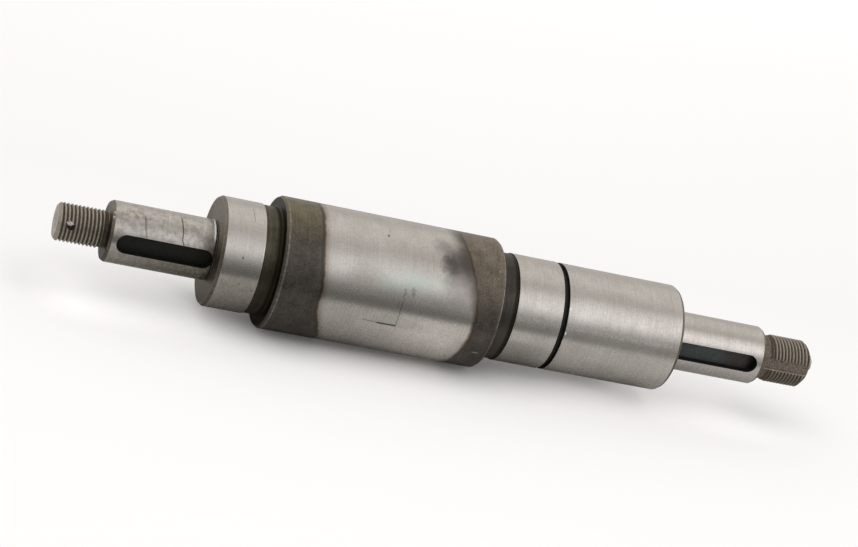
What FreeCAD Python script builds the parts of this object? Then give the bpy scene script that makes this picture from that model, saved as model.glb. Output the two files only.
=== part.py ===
import FreeCAD, Part
import math
import os
import Sketcher

# Pump shaft turned from one bar, lying along X, with keyways facing -Y
# The origin is on the shaft axis, halfway between the two end faces

document = FreeCAD.newDocument("pump_shaft")

# Driving dimensions, in millimetres and degrees
dimensions = {
    "thread_left_diameter": 20,
    "thread_left_length": 26,
    "thread_left_chamfer": 1.5,
    "undercut_left_diameter": 18.4,
    "undercut_left_width": 2,
    "seat_left_diameter": 32,
    "seat_left_length": 55,
    "collar_diameter": 58,
    "collar_length": 22,
    "neck_left_diameter": 57,
    "neck_left_length": 9,
    "drum_diameter": 70,
    "drum_length": 120,
    "neck_right_diameter": 57,
    "neck_right_length": 10,
    "journal_diameter": 58,
    "journal_length": 95.5,
    "seat_right_diameter": 32,
    "seat_right_length": 55.5,
    "thread_right_diameter": 26,
    "thread_right_length": 29.5,
    "thread_right_chamfer": 3,
    "undercut_right_diameter": 24,
    "undercut_right_width": 5,
    "rim_chamfer_length": 1.6,
    "rim_chamfer_depth": 1,
    "relief_width": 1,
    "relief_depth": 0.4,
    "ring_groove_offset": 25.5,
    "ring_groove_width": 3,
    "ring_groove_depth": 2,
    "keyway_width": 10,
    "keyway_depth": 5,
    "keyway_length": 50,
    "keyway_end_land": 4.3,
    "pin_hole_diameter": 4,
    "pin_hole_from_end": 7,
    "pin_hole_turn": 11,
    "washer_slot_width": 6.5,
    "washer_slot_depth": 3,
    "washer_slot_turn": 4.5,
    "centre_drill_diameter": 4,
    "centre_drill_depth": 10,
    "centre_cone_diameter": 8.5,
    "centre_cone_angle": 60,
    "drill_point_angle": 118,
}

# Sections of the shaft in order from the left end
sections = [
    "thread_left",
    "seat_left",
    "collar",
    "neck_left",
    "drum",
    "neck_right",
    "journal",
    "seat_right",
    "thread_right",
]

# Chamfered rims by section, with each chamfer's length along the axis and its depth
rim = ("dims.rim_chamfer_length", "dims.rim_chamfer_depth")
chamfers_at_start = {
    "thread_left": ("dims.thread_left_chamfer", "dims.thread_left_chamfer"),
    "seat_left": rim,
    "collar": rim,
    "drum": rim,
}
chamfers_at_end = {
    "drum": rim,
    "journal": rim,
    "seat_right": rim,
    "thread_right": ("dims.thread_right_chamfer", "dims.thread_right_chamfer"),
}

sheet = document.addObject("Spreadsheet::Sheet", "dims")
for row, (alias, value) in enumerate(dimensions.items(), start=1):
    sheet.set(f"A{row}", alias)
    sheet.set(f"B{row}", str(value))
    sheet.setAlias(f"B{row}", alias)
document.recompute()


def start_of(section):
    """Distance from the left end face to where a section starts, as an expression."""
    before = sections[:sections.index(section)]
    return " + ".join(f"dims.{name}_length" for name in before) or "0"


def end_of(section):
    """Distance from the left end face to where a section ends, as an expression."""
    return f"{start_of(section)} + dims.{section}_length"


def radius_of(section):
    return f"dims.{section}_diameter / 2"


total_length = end_of(sections[-1])
full_turn = 360

body = document.addObject("PartDesign::Body", "pump_shaft")
body.Label = "pump_shaft"


def value_of(expression):
    """Number that an expression of the sheet gives."""
    return float(body.evalExpression(expression))


def origin_plane(role):
    return next(plane for plane in body.Origin.OriginFeatures if plane.Role == role)


def turning_sketch(name):
    """Sketch of a turned form, drawn beside the axis on the side that the keyways face.

    Its X runs along the shaft and its Y points out along -Y, so the seams of the
    turned faces run down the middle of the keyways.
    """
    sketch = body.newObject("Sketcher::SketchObject", name)
    sketch.AttachmentSupport = [(origin_plane("XY_Plane"), "")]
    sketch.MapMode = "FlatFace"
    half_turn_about_shaft = FreeCAD.Rotation(FreeCAD.Vector(1, 0, 0), 180)
    sketch.AttachmentOffset = FreeCAD.Placement(FreeCAD.Vector(), half_turn_about_shaft)
    return sketch


def milling_sketch(name, height, turn="0"):
    """Sketch square to a radius of the shaft, at a height above the axis.

    The radius points along -Y, or is turned from there towards +Z.
    """
    sketch = body.newObject("Sketcher::SketchObject", name)
    sketch.AttachmentSupport = [(origin_plane("XZ_Plane"), "")]
    sketch.MapMode = "FlatFace"
    rotation = FreeCAD.Rotation(FreeCAD.Vector(-1, 0, 0), value_of(turn))
    sketch.AttachmentOffset = FreeCAD.Placement(FreeCAD.Vector(), rotation)
    sketch.setExpression(".AttachmentOffset.Rotation.Angle", f"1 deg * ({turn})")
    sketch.setExpression(".AttachmentOffset.Base.y", f"({height}) * sin(1 deg * ({turn}))")
    sketch.setExpression(".AttachmentOffset.Base.z", f"({height}) * cos(1 deg * ({turn}))")
    return sketch


def drive(sketch, name, constraint, expression):
    """Add a dimension to a sketch and bind it to an expression of the sheet."""
    index = sketch.addConstraint(constraint)
    sketch.renameConstraint(index, name)
    sketch.setExpression(f"Constraints.{name}", expression)


def place_corner(sketch, line, name, along, out):
    """Hold the start of a line at its distances along and out from the axis.

    A distance of zero puts the corner on the sketch axis instead.
    """
    across_axis = -2
    along_axis = -1
    for kind, expression, zero_axis in (
        ("DistanceX", along, across_axis),
        ("DistanceY", out, along_axis),
    ):
        if expression == "0":
            sketch.addConstraint(Sketcher.Constraint("PointOnObject", line, 1, zero_axis))
        else:
            constraint = Sketcher.Constraint(kind, -1, 1, line, 1, value_of(expression))
            drive(sketch, f"{name}_{kind}", constraint, expression)


def closed_outline(sketch, corners):
    """Closed run of lines whose corners are pairs of expressions."""
    places = [FreeCAD.Vector(value_of(along), value_of(out), 0) for along, out in corners]
    count = len(places)
    for index in range(count):
        sketch.addGeometry(Part.LineSegment(places[index], places[(index + 1) % count]), False)
    for index in range(count):
        following = (index + 1) % count
        sketch.addConstraint(Sketcher.Constraint("Coincident", index, 2, following, 1))
    for index, (along, out) in enumerate(corners):
        place_corner(sketch, index, f"corner_{index}", along, out)


def turn_outline(kind, name, sketch):
    """Revolution or Groove of a sketch all the way about the shaft axis."""
    feature = body.newObject(kind, name)
    feature.Profile = sketch
    feature.ReferenceAxis = (sketch, ["H_Axis"])
    feature.Angle = full_turn
    document.recompute()
    return feature


def cut_ring(name, start, width, bottom_radius, surface_radius):
    """Groove of rectangular section round the shaft, open past the surface it is cut in."""
    outer = f"2 * ({surface_radius}) - ({bottom_radius})"
    sketch = turning_sketch(f"{name}_sketch")
    end = f"{start} + {width}"
    closed_outline(sketch, [
        (start, bottom_radius),
        (end, bottom_radius),
        (end, outer),
        (start, outer),
    ])
    return turn_outline("PartDesign::Groove", name, sketch)


def centre_hole(name, face, inward):
    """Centre hole for the lathe: a cone at the mouth, a drilled neck and its drill point."""
    cone_radius = "dims.centre_cone_diameter / 2"
    drill_radius = "dims.centre_drill_diameter / 2"
    cone_depth = f"({cone_radius} - {drill_radius}) / tan(1 deg * dims.centre_cone_angle / 2)"
    point_depth = f"{drill_radius} / tan(1 deg * dims.drill_point_angle / 2)"
    bottom = f"{face} {inward} dims.centre_drill_depth"
    sketch = turning_sketch(f"{name}_sketch")
    closed_outline(sketch, [
        (face, "0"),
        (face, cone_radius),
        (f"{face} {inward} ({cone_depth})", drill_radius),
        (bottom, drill_radius),
        (f"{bottom} {inward} {point_depth}", "0"),
    ])
    return turn_outline("PartDesign::Groove", name, sketch)


def section_corners(section):
    """Corners of one section's outline, with the chamfers that its rims have."""
    start = start_of(section)
    end = end_of(section)
    radius = radius_of(section)
    places = []
    if section in chamfers_at_start:
        length, depth = chamfers_at_start[section]
        places.append((start, f"{radius} - {depth}"))
        places.append((f"{start} + {length}", radius))
    else:
        places.append((start, radius))
    if section in chamfers_at_end:
        length, depth = chamfers_at_end[section]
        places.append((f"{end} - {length}", radius))
        places.append((end, f"{radius} - {depth}"))
    else:
        places.append((end, radius))
    return places


def cut_pocket(name, sketch, depth=None):
    """Pocket towards the shaft axis, or right through both ways with no depth."""
    before = body.Tip.Shape.Volume
    pocket = body.newObject("PartDesign::Pocket", name)
    pocket.Profile = sketch
    if depth:
        pocket.setExpression("Length", depth)
    else:
        pocket.Type = "ThroughAll"
        pocket.SideType = "Symmetric"
    document.recompute()
    if pocket.Shape.Volume >= before:
        raise RuntimeError(f"{name} cuts nothing")
    return pocket


# The stepped outline with its chamfers, turned about the axis
outline = turning_sketch("outline_sketch")
corners = [("0", "0")]
for section in sections:
    corners.extend(section_corners(section))
corners.append((total_length, "0"))
closed_outline(outline, corners)
turn_outline("PartDesign::Revolution", "turned_outline", outline)

# Thread undercuts against the two end shoulders
cut_ring(
    "undercut_left",
    f"{end_of('thread_left')} - dims.undercut_left_width",
    "dims.undercut_left_width",
    "dims.undercut_left_diameter / 2",
    radius_of("thread_left"),
)
cut_ring(
    "undercut_right",
    start_of("thread_right"),
    "dims.undercut_right_width",
    "dims.undercut_right_diameter / 2",
    radius_of("thread_right"),
)

# Grinding reliefs where the keyed seats meet the collar and the journal
cut_ring(
    "relief_left",
    f"{end_of('seat_left')} - dims.relief_width",
    "dims.relief_width",
    f"{radius_of('seat_left')} - dims.relief_depth",
    radius_of("seat_left"),
)
cut_ring(
    "relief_right",
    start_of("seat_right"),
    "dims.relief_width",
    f"{radius_of('seat_right')} - dims.relief_depth",
    radius_of("seat_right"),
)

# Retaining ring groove in the journal
cut_ring(
    "ring_groove",
    f"{start_of('journal')} + dims.ring_groove_offset",
    "dims.ring_groove_width",
    f"{radius_of('journal')} - dims.ring_groove_depth",
    radius_of("journal"),
)

# Centre holes in both end faces
centre_hole("centre_left", start_of("thread_left"), "+")
centre_hole("centre_right", total_length, "-")


def keyway(name, seat, left_end):
    """Blind keyway with round ends, milled into the -Y side of a seat."""
    sketch = milling_sketch(f"{name}_sketch", radius_of(seat))
    half_width = "dims.keyway_width / 2"
    first = f"{left_end} + {half_width}"
    last = f"{left_end} + dims.keyway_length - {half_width}"
    half = value_of(half_width)
    first_place = value_of(first)
    last_place = value_of(last)
    upper = Part.LineSegment(
        FreeCAD.Vector(first_place, half, 0),
        FreeCAD.Vector(last_place, half, 0),
    )
    lower = Part.LineSegment(
        FreeCAD.Vector(last_place, -half, 0),
        FreeCAD.Vector(first_place, -half, 0),
    )
    normal = FreeCAD.Vector(0, 0, 1)
    left_circle = Part.Circle(FreeCAD.Vector(first_place, 0, 0), normal, half)
    right_circle = Part.Circle(FreeCAD.Vector(last_place, 0, 0), normal, half)
    left_round = Part.ArcOfCircle(left_circle, math.pi / 2, 3 * math.pi / 2)
    right_round = Part.ArcOfCircle(right_circle, -math.pi / 2, math.pi / 2)
    sketch.addGeometry([upper, right_round, lower, left_round], False)
    for constraint in (
        Sketcher.Constraint("Tangent", 0, 2, 1, 2),
        Sketcher.Constraint("Tangent", 1, 1, 2, 1),
        Sketcher.Constraint("Tangent", 2, 2, 3, 2),
        Sketcher.Constraint("Tangent", 3, 1, 0, 1),
        Sketcher.Constraint("PointOnObject", 1, 3, -1),
        Sketcher.Constraint("PointOnObject", 3, 3, -1),
    ):
        sketch.addConstraint(constraint)
    left_centre = Sketcher.Constraint("DistanceX", -1, 1, 3, 3, first_place)
    right_centre = Sketcher.Constraint("DistanceX", -1, 1, 1, 3, last_place)
    drive(sketch, "end_radius", Sketcher.Constraint("Radius", 3, half), half_width)
    drive(sketch, "left_centre", left_centre, first)
    drive(sketch, "right_centre", right_centre, last)
    return cut_pocket(name, sketch, "dims.keyway_depth")


# The keyways end the same land short of the outer end of each seat
keyway("keyway_left", "seat_left", f"{start_of('seat_left')} + dims.keyway_end_land")
keyway(
    "keyway_right",
    "seat_right",
    f"{end_of('seat_right')} - dims.keyway_end_land - dims.keyway_length",
)

# Slot along the right thread for the tongue of a lock washer
slot_sketch = milling_sketch(
    "washer_slot_sketch",
    radius_of("thread_right"),
    "dims.washer_slot_turn",
)
slot_half = "dims.washer_slot_width / 2"
closed_outline(slot_sketch, [
    (start_of("thread_right"), f"-{slot_half}"),
    (total_length, f"-{slot_half}"),
    (total_length, slot_half),
    (start_of("thread_right"), slot_half),
])
cut_pocket("washer_slot", slot_sketch, "dims.washer_slot_depth")

# Cross hole for a split pin through the left thread
pin_sketch = milling_sketch("pin_hole_sketch", "0", "dims.pin_hole_turn")
pin_place = value_of("dims.pin_hole_from_end")
pin_radius = value_of("dims.pin_hole_diameter / 2")
pin_circle = Part.Circle(
    FreeCAD.Vector(pin_place, 0, 0),
    FreeCAD.Vector(0, 0, 1),
    pin_radius,
)
pin_sketch.addGeometry(pin_circle, False)
pin_sketch.addConstraint(Sketcher.Constraint("PointOnObject", 0, 3, -1))
pin_offset = Sketcher.Constraint("DistanceX", -1, 1, 0, 3, pin_place)
drive(pin_sketch, "from_end", pin_offset, "dims.pin_hole_from_end")
drive(
    pin_sketch,
    "hole_radius",
    Sketcher.Constraint("Radius", 0, pin_radius),
    "dims.pin_hole_diameter / 2",
)
cut_pocket("pin_hole", pin_sketch)

# The middle of the shaft goes to the origin
body.setExpression(".Placement.Base.x", f"-({total_length}) / 2")
document.recompute()

# Nothing is written unless every feature and the finished solid are sound
for item in document.Objects:
    if "Invalid" in item.State or "Error" in item.State:
        raise RuntimeError(f"{item.Name} failed: {item.State}")
shaft = body.Shape
if shaft.isNull() or not shaft.isValid() or len(shaft.Solids) != 1:
    raise RuntimeError("the shaft is not one valid solid")

os.makedirs("parts", exist_ok=True)
shaft.exportStep(f"parts/{body.Label}.step")
print(body.Label, "volume", round(shaft.Volume, 1), "box", shaft.BoundBox)
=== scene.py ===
import math

import bpy
from mathutils import Matrix, Vector, noise


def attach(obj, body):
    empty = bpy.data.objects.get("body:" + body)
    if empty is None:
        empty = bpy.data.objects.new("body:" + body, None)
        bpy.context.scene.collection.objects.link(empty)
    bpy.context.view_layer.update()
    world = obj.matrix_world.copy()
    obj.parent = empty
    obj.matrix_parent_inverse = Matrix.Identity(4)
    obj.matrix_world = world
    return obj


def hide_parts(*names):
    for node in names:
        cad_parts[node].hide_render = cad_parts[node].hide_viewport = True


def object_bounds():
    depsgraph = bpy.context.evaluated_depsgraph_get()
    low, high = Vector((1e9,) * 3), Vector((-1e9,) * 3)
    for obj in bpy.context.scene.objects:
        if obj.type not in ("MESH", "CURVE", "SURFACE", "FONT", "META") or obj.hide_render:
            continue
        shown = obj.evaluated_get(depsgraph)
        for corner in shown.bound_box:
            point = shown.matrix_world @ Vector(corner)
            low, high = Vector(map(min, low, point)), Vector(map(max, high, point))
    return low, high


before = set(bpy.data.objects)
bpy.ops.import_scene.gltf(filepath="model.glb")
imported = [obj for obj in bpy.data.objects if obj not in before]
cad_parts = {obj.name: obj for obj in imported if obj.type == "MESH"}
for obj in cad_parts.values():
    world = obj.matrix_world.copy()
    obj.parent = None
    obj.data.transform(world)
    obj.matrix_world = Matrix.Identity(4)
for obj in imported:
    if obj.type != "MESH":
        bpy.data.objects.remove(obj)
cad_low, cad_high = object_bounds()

# Everything below is in millimetres and degrees until it becomes a mesh
MM = 0.001
AROUND = 192
ARC_STEPS = 3
SUPPORT = 0.35
SHARP_ANGLE = 33
BURR_STEPS = 9

# Sections of the shaft, left to right, as stations from the middle of its length
left_end = cad_low.x / MM
right_end = cad_high.x / MM
seat_left_start = left_end + 26
collar_start = seat_left_start + 55
neck_left_start = collar_start + 22
drum_start = neck_left_start + 9
neck_right_start = drum_start + 120
journal_start = neck_right_start + 10
seat_right_start = journal_start + 95.5
thread_right_start = seat_right_start + 55.5

# Radii of the sections
drum_radius = cad_high.z / MM
thread_left_radius = 10
undercut_left_radius = 9.2
seat_radius = 16
journal_radius = 29
neck_radius = 28.5
undercut_right_radius = 12
thread_right_radius = 13

# Smaller features
rim_length = 1.6
rim_depth = 1
relief_width = 1
relief_depth = 0.4
groove_start = journal_start + 25.5
groove_width = 3
groove_depth = 2
undercut_left_width = 2
undercut_right_width = 5
thread_pitch = 2
thread_depth = 0.46 * thread_pitch
thread_left_chamfer = 1.5
thread_left_land = 1.7
thread_right_chamfer = 3
centre_cone_radius = 4.25
centre_drill_radius = 2
centre_drill_depth = 10
centre_cone_depth = (centre_cone_radius - centre_drill_radius) / math.tan(math.radians(30))
drill_point_depth = centre_drill_radius / math.tan(math.radians(59))
keyway_half_width = 5
keyway_floor = 11
keyway_length = 50
keyway_end_land = 4.3
washer_slot_half_width = 3.25
washer_slot_floor = 10
washer_slot_turn = 4.5
washer_slot_land = 0.3
pin_hole_radius = 2
pin_hole_station = left_end + 7
pin_hole_turn = 11
edge = 0.25
fine_edge = 0.12
neck_rounding = 1
undercut_rounding = 0.5
relief_rounding = 0.2
right_end_rounding = 1.2
cutter_clearance = 3

# Materials by their place in the piece's list
GROUND, DRUM, SCALE, SHOULDER, THREAD, KEYWAY, END_FACE_AND_GLINT, UNDERCUT, SLOT = range(9)


class Skin:
    """Closed surface of the turned bar, grown ring by ring along X."""

    def __init__(self):
        self.points = []
        self.faces = []
        self.materials = []

    def point(self, x, radius, step):
        angle = 2 * math.pi * step / AROUND
        self.points.append((x, radius * math.cos(angle), radius * math.sin(angle)))
        return len(self.points) - 1

    def ring(self, x, radius):
        if radius == 0:
            return [self.point(x, 0, 0)] * AROUND
        return [self.point(x, radius, step) for step in range(AROUND)]

    def face(self, corners, material):
        kept = []
        for corner in corners:
            if corner not in kept:
                kept.append(corner)
        if len(kept) > 2:
            self.faces.append(kept)
            self.materials.append(material)

    def join(self, first, second, material):
        for step in range(AROUND):
            following = (step + 1) % AROUND
            self.face((first[step], first[following], second[following], second[step]), material)

    def turned(self, start_ring, profile):
        """Rings along a profile of (x, radius, material after it), from a pole where there is no ring."""
        ring = start_ring
        material = profile[0][2]
        for x, radius, following in profile[1:]:
            ring_after = self.ring(x, radius)
            if ring is None:
                ring = self.ring(profile[0][0], 0)
            self.join(ring, ring_after, material)
            ring = ring_after
            material = following
        return ring

    def threaded(self, start, end, phase, radius_at, material):
        """Helical grid between two plain rings, which it returns."""
        turns = math.ceil((end - start) / thread_pitch)
        lines = [turn + share for turn in range(-2, turns + 2) for share, _ in thread_form]
        known = {}

        def corner(line, step):
            x = start + thread_pitch * (line + phase + step / AROUND)
            x = min(max(x, start), end)
            key = (step % AROUND, round(x, 6))
            if key not in known:
                share = (x - start) / thread_pitch - phase - step / AROUND
                known[key] = self.point(x, radius_at(x, share % 1, step), step)
            return known[key]

        for line, next_line in zip(lines, lines[1:]):
            for step in range(AROUND):
                lower = corner(line, step), corner(line, step + 1)
                upper = corner(next_line, step + 1), corner(next_line, step)
                self.face(lower + upper, material)
        first = [known[(step, round(start, 6))] for step in range(AROUND)]
        last = [known[(step, round(end, 6))] for step in range(AROUND)]
        return first, last


# Section of one thread pitch: place along it, and depth below the crest as a share
thread_form = [
    (0.00, 0.0), (0.08, 0.0), (0.12, 0.07), (0.44, 0.93),
    (0.50, 1.0), (0.58, 1.0), (0.64, 0.93), (0.96, 0.07),
]


def thread_drop(share):
    """Depth below the crest at a place along one pitch."""
    following = thread_form[1:] + [(1.0, thread_form[0][1])]
    for (low, low_drop), (high, high_drop) in zip(thread_form, following):
        if low <= share <= high:
            mix = (share - low) / (high - low)
            return (low_drop + mix * (high_drop - low_drop)) * thread_depth
    return 0.0


def rounded(corners):
    """Profile through corners of (x, radius, rounding, material after), with arcs and support rings."""
    path = []
    for index, (x, radius, rounding, material) in enumerate(corners):
        if not rounding:
            path.append((x, radius, material))
            continue
        here = Vector((x, radius))
        before = (here - Vector(corners[index - 1][:2])).normalized()
        after = (Vector(corners[index + 1][:2]) - here).normalized()
        turn = before.angle_signed(after)
        reach = rounding * math.tan(abs(turn) / 2)
        side = math.copysign(1, turn)
        inward = Vector((before.y, -before.x)) * side
        start = here - before * reach
        centre = start + inward * rounding
        for step in range(ARC_STEPS + 1):
            spoke = start - centre
            spoke.rotate(Matrix.Rotation(-turn * step / ARC_STEPS, 2))
            place = centre + spoke
            path.append((place.x, place.y, material))
    supported = [path[0]]
    for first, second in zip(path, path[1:]):
        run = Vector(second[:2]) - Vector(first[:2])
        if run.length > 4 * SUPPORT:
            step = run.normalized() * SUPPORT
            supported.append((first[0] + step.x, first[1] + step.y, first[2]))
            supported.append((second[0] - step.x, second[1] - step.y, first[2]))
        supported.append(second)
    return supported


def worn(x, radius, step):
    """Radius with the small unevenness of a worn thread."""
    angle = 2 * math.pi * step / AROUND
    place = Vector((x, radius * math.cos(angle), radius * math.sin(angle)))
    return radius + thread_wear * noise.noise(place * thread_wear_scale)


thread_wear = 0.06
thread_wear_scale = 0.9
thread_overlap = 0.05
thread_left_root = thread_left_radius - thread_depth
thread_left_face = thread_left_radius - thread_left_chamfer
thread_left_from = left_end + thread_left_root - thread_left_face - thread_overlap
thread_left_to = seat_left_start - undercut_left_width
thread_right_root = thread_right_radius - thread_depth
thread_right_face = thread_right_radius - thread_right_chamfer
thread_right_from = thread_right_start + undercut_right_width
thread_right_to = right_end - (thread_right_root - thread_right_face) + thread_overlap
thread_left_phase = 0.04
thread_right_phase = 0.1

# Slopes of the threads' run-outs, of the first crest and of the torn tail
runout_left_slope = 0.22
runout_right_slope = 0.3
land_slope = 1.5
tail_slope = 0.35


def thread_left_at(x, share, step):
    """Radius of the left thread at a station and a place along its pitch."""
    crest = worn(x, thread_left_radius - thread_drop(share), step)
    runout = undercut_left_radius - runout_left_slope * (thread_left_to - x)
    land = thread_left_radius - land_slope * max(x - left_end - thread_left_land, 0)
    lead = thread_left_face + x - left_end
    tail = undercut_left_radius + thread_left_to - x
    return min(max(crest, runout, land), lead, tail)


def thread_right_at(x, share, step):
    """Radius of the right thread at a station and a place along its pitch."""
    crest = worn(x, thread_right_radius - thread_drop(share), step)
    runout = undercut_right_radius - runout_right_slope * (x - thread_right_from)
    lead = thread_right_face + right_end - x
    tail = undercut_right_radius + tail_slope * (x - thread_right_from)
    return min(max(crest, runout), lead, tail)


skin = Skin()

# Centre hole and end face on the left
left_mouth = rounded([
    (left_end + centre_drill_depth + drill_point_depth, 0, 0, THREAD),
    (left_end + centre_drill_depth, centre_drill_radius, 0, THREAD),
    (left_end + centre_cone_depth, centre_drill_radius, 0, END_FACE_AND_GLINT),
    (left_end, centre_cone_radius, fine_edge, END_FACE_AND_GLINT),
    (left_end, thread_left_face, fine_edge, END_FACE_AND_GLINT),
    (thread_left_from, thread_left_face + thread_left_from - left_end, 0, THREAD),
])
last_ring = skin.turned(None, left_mouth[:-1])
first, last = skin.threaded(thread_left_from, thread_left_to, thread_left_phase, thread_left_at, THREAD)
skin.join(last_ring, first, THREAD)

# From the left undercut to the right one
middle = rounded([
    (thread_left_to, undercut_left_radius, 0, THREAD),
    (seat_left_start, undercut_left_radius, undercut_rounding, SHOULDER),
    (seat_left_start, seat_radius - rim_depth, fine_edge, SHOULDER),
    (seat_left_start + rim_length, seat_radius, fine_edge, GROUND),
    (collar_start - relief_width, seat_radius, fine_edge, GROUND),
    (collar_start - relief_width, seat_radius - relief_depth, 0, KEYWAY),
    (collar_start, seat_radius - relief_depth, relief_rounding, SHOULDER),
    (collar_start, journal_radius - rim_depth, fine_edge, SHOULDER),
    (collar_start + rim_length, journal_radius, fine_edge, GROUND),
    (neck_left_start, journal_radius, fine_edge, SCALE),
    (neck_left_start, neck_radius, 0, SCALE),
    (drum_start, neck_radius, neck_rounding, SCALE),
    (drum_start, drum_radius - rim_depth, edge, DRUM),
    (drum_start + rim_length, drum_radius, edge, DRUM),
    (neck_right_start - rim_length, drum_radius, edge, DRUM),
    (neck_right_start, drum_radius - rim_depth, edge, SCALE),
    (neck_right_start, neck_radius, neck_rounding, SCALE),
    (journal_start, neck_radius, 0, SCALE),
    (journal_start, journal_radius, fine_edge, GROUND),
    (groove_start, journal_radius, fine_edge, KEYWAY),
    (groove_start, journal_radius - groove_depth, 0, KEYWAY),
    (groove_start + groove_width, journal_radius - groove_depth, 0, KEYWAY),
    (groove_start + groove_width, journal_radius, fine_edge, GROUND),
    (seat_right_start - rim_length, journal_radius, fine_edge, SHOULDER),
    (seat_right_start, journal_radius - rim_depth, fine_edge, SHOULDER),
    (seat_right_start, seat_radius - relief_depth, relief_rounding, KEYWAY),
    (seat_right_start + relief_width, seat_radius - relief_depth, 0, KEYWAY),
    (seat_right_start + relief_width, seat_radius, fine_edge, GROUND),
    (thread_right_start - rim_length, seat_radius, fine_edge, SHOULDER),
    (thread_right_start, seat_radius - rim_depth, fine_edge, SHOULDER),
    (thread_right_start, undercut_right_radius, undercut_rounding, UNDERCUT),
    (thread_right_from, undercut_right_radius, 0, THREAD),
])
last_ring = skin.turned(last, middle[:-1])
first, last = skin.threaded(
    thread_right_from, thread_right_to, thread_right_phase, thread_right_at, THREAD
)
skin.join(last_ring, first, THREAD)

# End face and centre hole on the right
right_mouth = rounded([
    (thread_right_to, thread_right_face + right_end - thread_right_to, 0, THREAD),
    (right_end, thread_right_face, right_end_rounding, END_FACE_AND_GLINT),
    (right_end, centre_cone_radius, fine_edge, THREAD),
    (right_end - centre_cone_depth, centre_drill_radius, 0, THREAD),
    (right_end - centre_drill_depth, centre_drill_radius, 0, THREAD),
    (right_end - centre_drill_depth - drill_point_depth, 0, 0, THREAD),
])
skin.turned(last, right_mouth)


class Shell:
    """Closed surfaces of cutters or burrs."""

    def __init__(self):
        self.points = []
        self.faces = []
        self.materials = []

    def tube(self, outlines, material):
        """Closed tube through outlines with the same number of points."""
        loops = []
        for outline in outlines:
            first = len(self.points)
            self.points.extend(outline)
            loops.append(list(range(first, len(self.points))))
        self.faces.append(loops[0][::-1])
        for lower, upper in zip(loops, loops[1:]):
            for index in range(len(lower)):
                following = (index + 1) % len(lower)
                self.faces.append((lower[index], lower[following], upper[following], upper[index]))
        self.faces.append(loops[-1])
        self.materials += [material] * (len(self.faces) - len(self.materials))


def stadium(first, last, half_width, steps=24):
    """Outline of a slot with round ends, as pairs of station and height."""
    outline = []
    for centre, start in ((last, -90), (first, 90)):
        for step in range(steps + 1):
            angle = math.radians(start + 180 * step / steps)
            across = half_width * math.sin(angle)
            outline.append((centre + half_width * math.cos(angle), across))
    return outline


def cut_keyway(shell, start):
    """Keyway into the -Y side of a seat, with a fine bevel along its rim."""
    flare = 1.0
    centres = start + keyway_half_width, start + keyway_length - keyway_half_width
    outline = stadium(*centres, keyway_half_width)
    wide = stadium(*centres, keyway_half_width + flare)
    rims = [-math.sqrt(seat_radius ** 2 - z ** 2) for _, z in outline]
    above = flare - fine_edge
    floor = [(x, -keyway_floor, z) for x, z in outline]
    brink = [(x, rim + fine_edge, z) for (x, z), rim in zip(outline, rims)]
    lip = [(x, rim - above, z) for (x, z), rim in zip(wide, rims)]
    clear = [(x, -seat_radius - cutter_clearance, z) for x, z in wide]
    shell.tube([floor, brink, lip, clear], KEYWAY)


def facing(turn):
    """Axes of a cut whose direction is -Y turned towards +Z: along the shaft, across, out."""
    angle = math.radians(turn)
    out = Vector((0, -math.cos(angle), math.sin(angle)))
    across = Vector((0, math.sin(angle), math.cos(angle)))
    return Vector((1, 0, 0)), across, out


def cut_washer_slot(shell):
    """Slot along the right thread with a flat floor, and a painted highlight on its lower wall."""
    along, across, out = facing(washer_slot_turn)
    start = thread_right_start + washer_slot_land
    end = right_end + cutter_clearance
    side = washer_slot_half_width
    top = thread_right_radius + cutter_clearance + 1
    outline = [(start, -side), (end, -side), (end, side), (start, side)]
    floor = [along * x + across * z + out * washer_slot_floor for x, z in outline]
    clear = [along * x + across * z + out * top for x, z in outline]
    # The lower wall takes the pale material, a painted highlight along the slot's lower edge
    lower_wall = len(shell.materials) + 1
    shell.tube([floor, clear], SLOT)
    shell.materials[lower_wall] = END_FACE_AND_GLINT


def cut_pin_hole(shell):
    """Cross hole right through the left thread."""
    along, across, out = facing(pin_hole_turn)
    steps = 40
    reach = thread_left_radius + cutter_clearance + 1
    outline = []
    for step in range(steps):
        angle = 2 * math.pi * step / steps
        station = pin_hole_station + pin_hole_radius * math.cos(angle)
        outline.append(along * station + across * (pin_hole_radius * math.sin(angle)))
    far = [place - out * reach for place in outline]
    near = [place + out * reach for place in outline]
    shell.tube([far, near], THREAD)


def add_burr(shell, places, across, out, material):
    """Torn lip of metal along a run of places, thinner towards both ends."""
    corners = 8
    rings = []
    for index, place in enumerate(places):
        swell = math.sin(math.pi * (index + 0.5) / len(places))
        ring = []
        for corner in range(corners):
            angle = 2 * math.pi * corner / corners
            reach = across[index] * math.cos(angle) + out[index] * math.sin(angle)
            ring.append(place + reach * swell)
        rings.append(ring)
    shell.tube(rings, material)


def pin_hole_burr(shell):
    """Lip over the upper edge of the cross hole, pale as bare metal and with a painted glint."""
    along, across, out = facing(pin_hole_turn + 8.5)
    length, width, height = 3.8, 1.2, 0.6
    start = along * (pin_hole_station - 2.6) + out * 9.5
    places = []
    for step in range(BURR_STEPS):
        sway = 0.35 * math.sin(2.2 * step)
        places.append(start + along * (length * step / (BURR_STEPS - 1)) + across * sway)
    add_burr(shell, places, [across * width] * BURR_STEPS, [out * height] * BURR_STEPS, END_FACE_AND_GLINT)


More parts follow.
